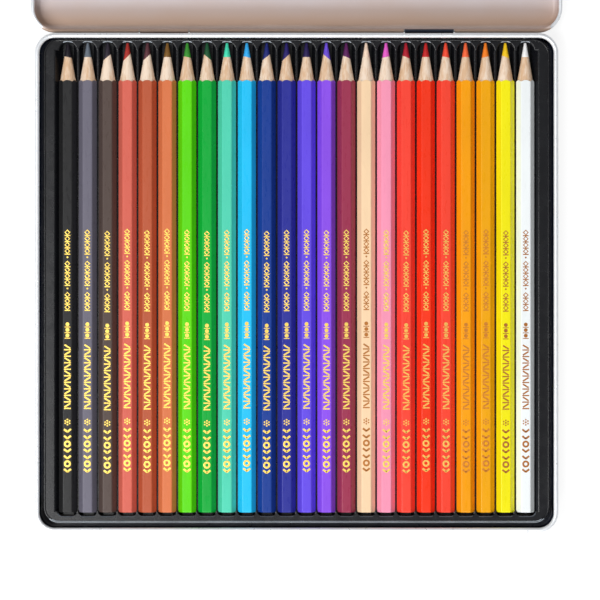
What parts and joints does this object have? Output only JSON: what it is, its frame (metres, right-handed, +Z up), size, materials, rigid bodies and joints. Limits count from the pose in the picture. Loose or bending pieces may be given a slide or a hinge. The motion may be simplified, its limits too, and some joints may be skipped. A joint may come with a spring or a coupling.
{
  "type": "colored pencil tin",
  "caption": "Flat hinged metal tin lying open, with a formed black tray that holds one row of sharpened hexagonal colored pencils.",
  "frame": {"origin": "centre of the base's flat underside", "axes": "+X across the row of pencils, from black to white; +Y along the pencils towards their points and the hinge; +Z up, out of the open base"},
  "size_m": [0.2006, 0.3797, 0.012],
  "materials": {
    "base_lacquer": "thin tinplate, polished rolled rim, dark navy lacquer on the outside",
    "lid_lacquer": "thin tinplate, satin beige lacquer inside, dark navy lacquer outside",
    "pin_steel": "drawn steel wire",
    "tray_plastic": "vacuum-formed black sheet, satin",
    "black_casing": "glossy black lacquer over pale wood, bare at the sharpened cone",
    "black_lead": "waxy pigment core",
    "grey_casing": "glossy grey lacquer over pale wood, bare at the sharpened cone",
    "grey_lead": "waxy pigment core",
    "umber_casing": "glossy umber lacquer over pale wood, bare at the sharpened cone",
    "umber_lead": "waxy pigment core",
    "coral_casing": "glossy coral lacquer over pale wood, bare at the sharpened cone",
    "coral_lead": "waxy pigment core",
    "sienna_casing": "glossy sienna lacquer over pale wood, bare at the sharpened cone",
    "sienna_lead": "waxy pigment core",
    "ochre_casing": "glossy ochre lacquer over pale wood, bare at the sharpened cone",
    "ochre_lead": "waxy pigment core",
    "lime_casing": "glossy lime lacquer over pale wood, bare at the sharpened cone",
    "lime_lead": "waxy pigment core",
    "green_casing": "glossy green lacquer over pale wood, bare at the sharpened cone",
    "green_lead": "waxy pigment core",
    "mint_casing": "glossy mint lacquer over pale wood, bare at the sharpened cone",
    "mint_lead": "waxy pigment core",
    "sky_casing": "glossy sky lacquer over pale wood, bare at the sharpened cone",
    "sky_lead": "waxy pigment core",
    "blue_casing": "glossy blue lacquer over pale wood, bare at the sharpened cone",
    "blue_lead": "waxy pigment core",
    "navy_casing": "glossy navy lacquer over pale wood, bare at the sharpened cone",
    "navy_lead": "waxy pigment core",
    "indigo_casing": "glossy indigo lacquer over pale wood, bare at the sharpened cone",
    "indigo_lead": "waxy pigment core",
    "violet_casing": "glossy violet lacquer over pale wood, bare at the sharpened cone",
    "violet_lead": "waxy pigment core",
    "wine_casing": "glossy wine lacquer over pale wood, bare at the sharpened cone",
    "wine_lead": "waxy pigment core",
    "peach_casing": "glossy peach lacquer over pale wood, bare at the sharpened cone",
    "peach_lead": "waxy pigment core",
    "pink_casing": "glossy pink lacquer over pale wood, bare at the sharpened cone",
    "pink_lead": "waxy pigment core",
    "scarlet_casing": "glossy scarlet lacquer over pale wood, bare at the sharpened cone",
    "scarlet_lead": "waxy pigment core",
    "red_casing": "glossy red lacquer over pale wood, bare at the sharpened cone",
    "red_lead": "waxy pigment core",
    "vermilion_casing": "glossy vermilion lacquer over pale wood, bare at the sharpened cone",
    "vermilion_lead": "waxy pigment core",
    "orange_casing": "glossy orange lacquer over pale wood, bare at the sharpened cone",
    "orange_lead": "waxy pigment core",
    "amber_casing": "glossy amber lacquer over pale wood, bare at the sharpened cone",
    "amber_lead": "waxy pigment core",
    "yellow_casing": "glossy yellow lacquer over pale wood, bare at the sharpened cone",
    "yellow_lead": "waxy pigment core",
    "white_casing": "glossy white lacquer over pale wood, bare at the sharpened cone",
    "white_lead": "waxy pigment core"
  },
  "bodies": {
    "base": {"base_shell": "base_lacquer"},
    "lid": {"lid_shell": "lid_lacquer", "left_hinge_pin": "pin_steel", "right_hinge_pin": "pin_steel"},
    "tray": {"pencil_tray": "tray_plastic"},
    "black_pencil": {"black_casing": "black_casing", "black_lead": "black_lead"},
    "grey_pencil": {"grey_casing": "grey_casing", "grey_lead": "grey_lead"},
    "umber_pencil": {"umber_casing": "umber_casing", "umber_lead": "umber_lead"},
    "coral_pencil": {"coral_casing": "coral_casing", "coral_lead": "coral_lead"},
    "sienna_pencil": {"sienna_casing": "sienna_casing", "sienna_lead": "sienna_lead"},
    "ochre_pencil": {"ochre_casing": "ochre_casing", "ochre_lead": "ochre_lead"},
    "lime_pencil": {"lime_casing": "lime_casing", "lime_lead": "lime_lead"},
    "green_pencil": {"green_casing": "green_casing", "green_lead": "green_lead"},
    "mint_pencil": {"mint_casing": "mint_casing", "mint_lead": "mint_lead"},
    "sky_pencil": {"sky_casing": "sky_casing", "sky_lead": "sky_lead"},
    "blue_pencil": {"blue_casing": "blue_casing", "blue_lead": "blue_lead"},
    "navy_pencil": {"navy_casing": "navy_casing", "navy_lead": "navy_lead"},
    "indigo_pencil": {"indigo_casing": "indigo_casing", "indigo_lead": "indigo_lead"},
    "violet_pencil": {"violet_casing": "violet_casing", "violet_lead": "violet_lead"},
    "wine_pencil": {"wine_casing": "wine_casing", "wine_lead": "wine_lead"},
    "peach_pencil": {"peach_casing": "peach_casing", "peach_lead": "peach_lead"},
    "pink_pencil": {"pink_casing": "pink_casing", "pink_lead": "pink_lead"},
    "scarlet_pencil": {"scarlet_casing": "scarlet_casing", "scarlet_lead": "scarlet_lead"},
    "red_pencil": {"red_casing": "red_casing", "red_lead": "red_lead"},
    "vermilion_pencil": {"vermilion_casing": "vermilion_casing", "vermilion_lead": "vermilion_lead"},
    "orange_pencil": {"orange_casing": "orange_casing", "orange_lead": "orange_lead"},
    "amber_pencil": {"amber_casing": "amber_casing", "amber_lead": "amber_lead"},
    "yellow_pencil": {"yellow_casing": "yellow_casing", "yellow_lead": "yellow_lead"},
    "white_pencil": {"white_casing": "white_casing", "white_lead": "white_lead"}
  },
  "joints": [
    {"name": "lid_hinge", "type": "hinge", "parent": "base", "child": "lid", "pos_m": [0, 0.09505, 0.0063], "axis": [-1, 0, 0], "range_deg": [-180, 0]},
    {"name": "tray_lift", "type": "slide", "parent": "base", "child": "tray", "axis": [0, 0, 1], "range_m": [0, 0.03]},
    {"name": "black_pencil_lift", "type": "slide", "parent": "tray", "child": "black_pencil", "axis": [0, 0, 1], "range_m": [0, 0.03]},
    {"name": "grey_pencil_lift", "type": "slide", "parent": "tray", "child": "grey_pencil", "axis": [0, 0, 1], "range_m": [0, 0.03]},
    {"name": "umber_pencil_lift", "type": "slide", "parent": "tray", "child": "umber_pencil", "axis": [0, 0, 1], "range_m": [0, 0.03]},
    {"name": "coral_pencil_lift", "type": "slide", "parent": "tray", "child": "coral_pencil", "axis": [0, 0, 1], "range_m": [0, 0.03]},
    {"name": "sienna_pencil_lift", "type": "slide", "parent": "tray", "child": "sienna_pencil", "axis": [0, 0, 1], "range_m": [0, 0.03]},
    {"name": "ochre_pencil_lift", "type": "slide", "parent": "tray", "child": "ochre_pencil", "axis": [0, 0, 1], "range_m": [0, 0.03]},
    {"name": "lime_pencil_lift", "type": "slide", "parent": "tray", "child": "lime_pencil", "axis": [0, 0, 1], "range_m": [0, 0.03]},
    {"name": "green_pencil_lift", "type": "slide", "parent": "tray", "child": "green_pencil", "axis": [0, 0, 1], "range_m": [0, 0.03]},
    {"name": "mint_pencil_lift", "type": "slide", "parent": "tray", "child": "mint_pencil", "axis": [0, 0, 1], "range_m": [0, 0.03]},
    {"name": "sky_pencil_lift", "type": "slide", "parent": "tray", "child": "sky_pencil", "axis": [0, 0, 1], "range_m": [0, 0.03]},
    {"name": "blue_pencil_lift", "type": "slide", "parent": "tray", "child": "blue_pencil", "axis": [0, 0, 1], "range_m": [0, 0.03]},
    {"name": "navy_pencil_lift", "type": "slide", "parent": "tray", "child": "navy_pencil", "axis": [0, 0, 1], "range_m": [0, 0.03]},
    {"name": "indigo_pencil_lift", "type": "slide", "parent": "tray", "child": "indigo_pencil", "axis": [0, 0, 1], "range_m": [0, 0.03]},
    {"name": "violet_pencil_lift", "type": "slide", "parent": "tray", "child": "violet_pencil", "axis": [0, 0, 1], "range_m": [0, 0.03]},
    {"name": "wine_pencil_lift", "type": "slide", "parent": "tray", "child": "wine_pencil", "axis": [0, 0, 1], "range_m": [0, 0.03]},
    {"name": "peach_pencil_lift", "type": "slide", "parent": "tray", "child": "peach_pencil", "axis": [0, 0, 1], "range_m": [0, 0.03]},
    {"name": "pink_pencil_lift", "type": "slide", "parent": "tray", "child": "pink_pencil", "axis": [0, 0, 1], "range_m": [0, 0.03]},
    {"name": "scarlet_pencil_lift", "type": "slide", "parent": "tray", "child": "scarlet_pencil", "axis": [0, 0, 1], "range_m": [0, 0.03]},
    {"name": "red_pencil_lift", "type": "slide", "parent": "tray", "child": "red_pencil", "axis": [0, 0, 1], "range_m": [0, 0.03]},
    {"name": "vermilion_pencil_lift", "type": "slide", "parent": "tray", "child": "vermilion_pencil", "axis": [0, 0, 1], "range_m": [0, 0.03]},
    {"name": "orange_pencil_lift", "type": "slide", "parent": "tray", "child": "orange_pencil", "axis": [0, 0, 1], "range_m": [0, 0.03]},
    {"name": "amber_pencil_lift", "type": "slide", "parent": "tray", "child": "amber_pencil", "axis": [0, 0, 1], "range_m": [0, 0.03]},
    {"name": "yellow_pencil_lift", "type": "slide", "parent": "tray", "child": "yellow_pencil", "axis": [0, 0, 1], "range_m": [0, 0.03]},
    {"name": "white_pencil_lift", "type": "slide", "parent": "tray", "child": "white_pencil", "axis": [0, 0, 1], "range_m": [0, 0.03]}
  ]
}
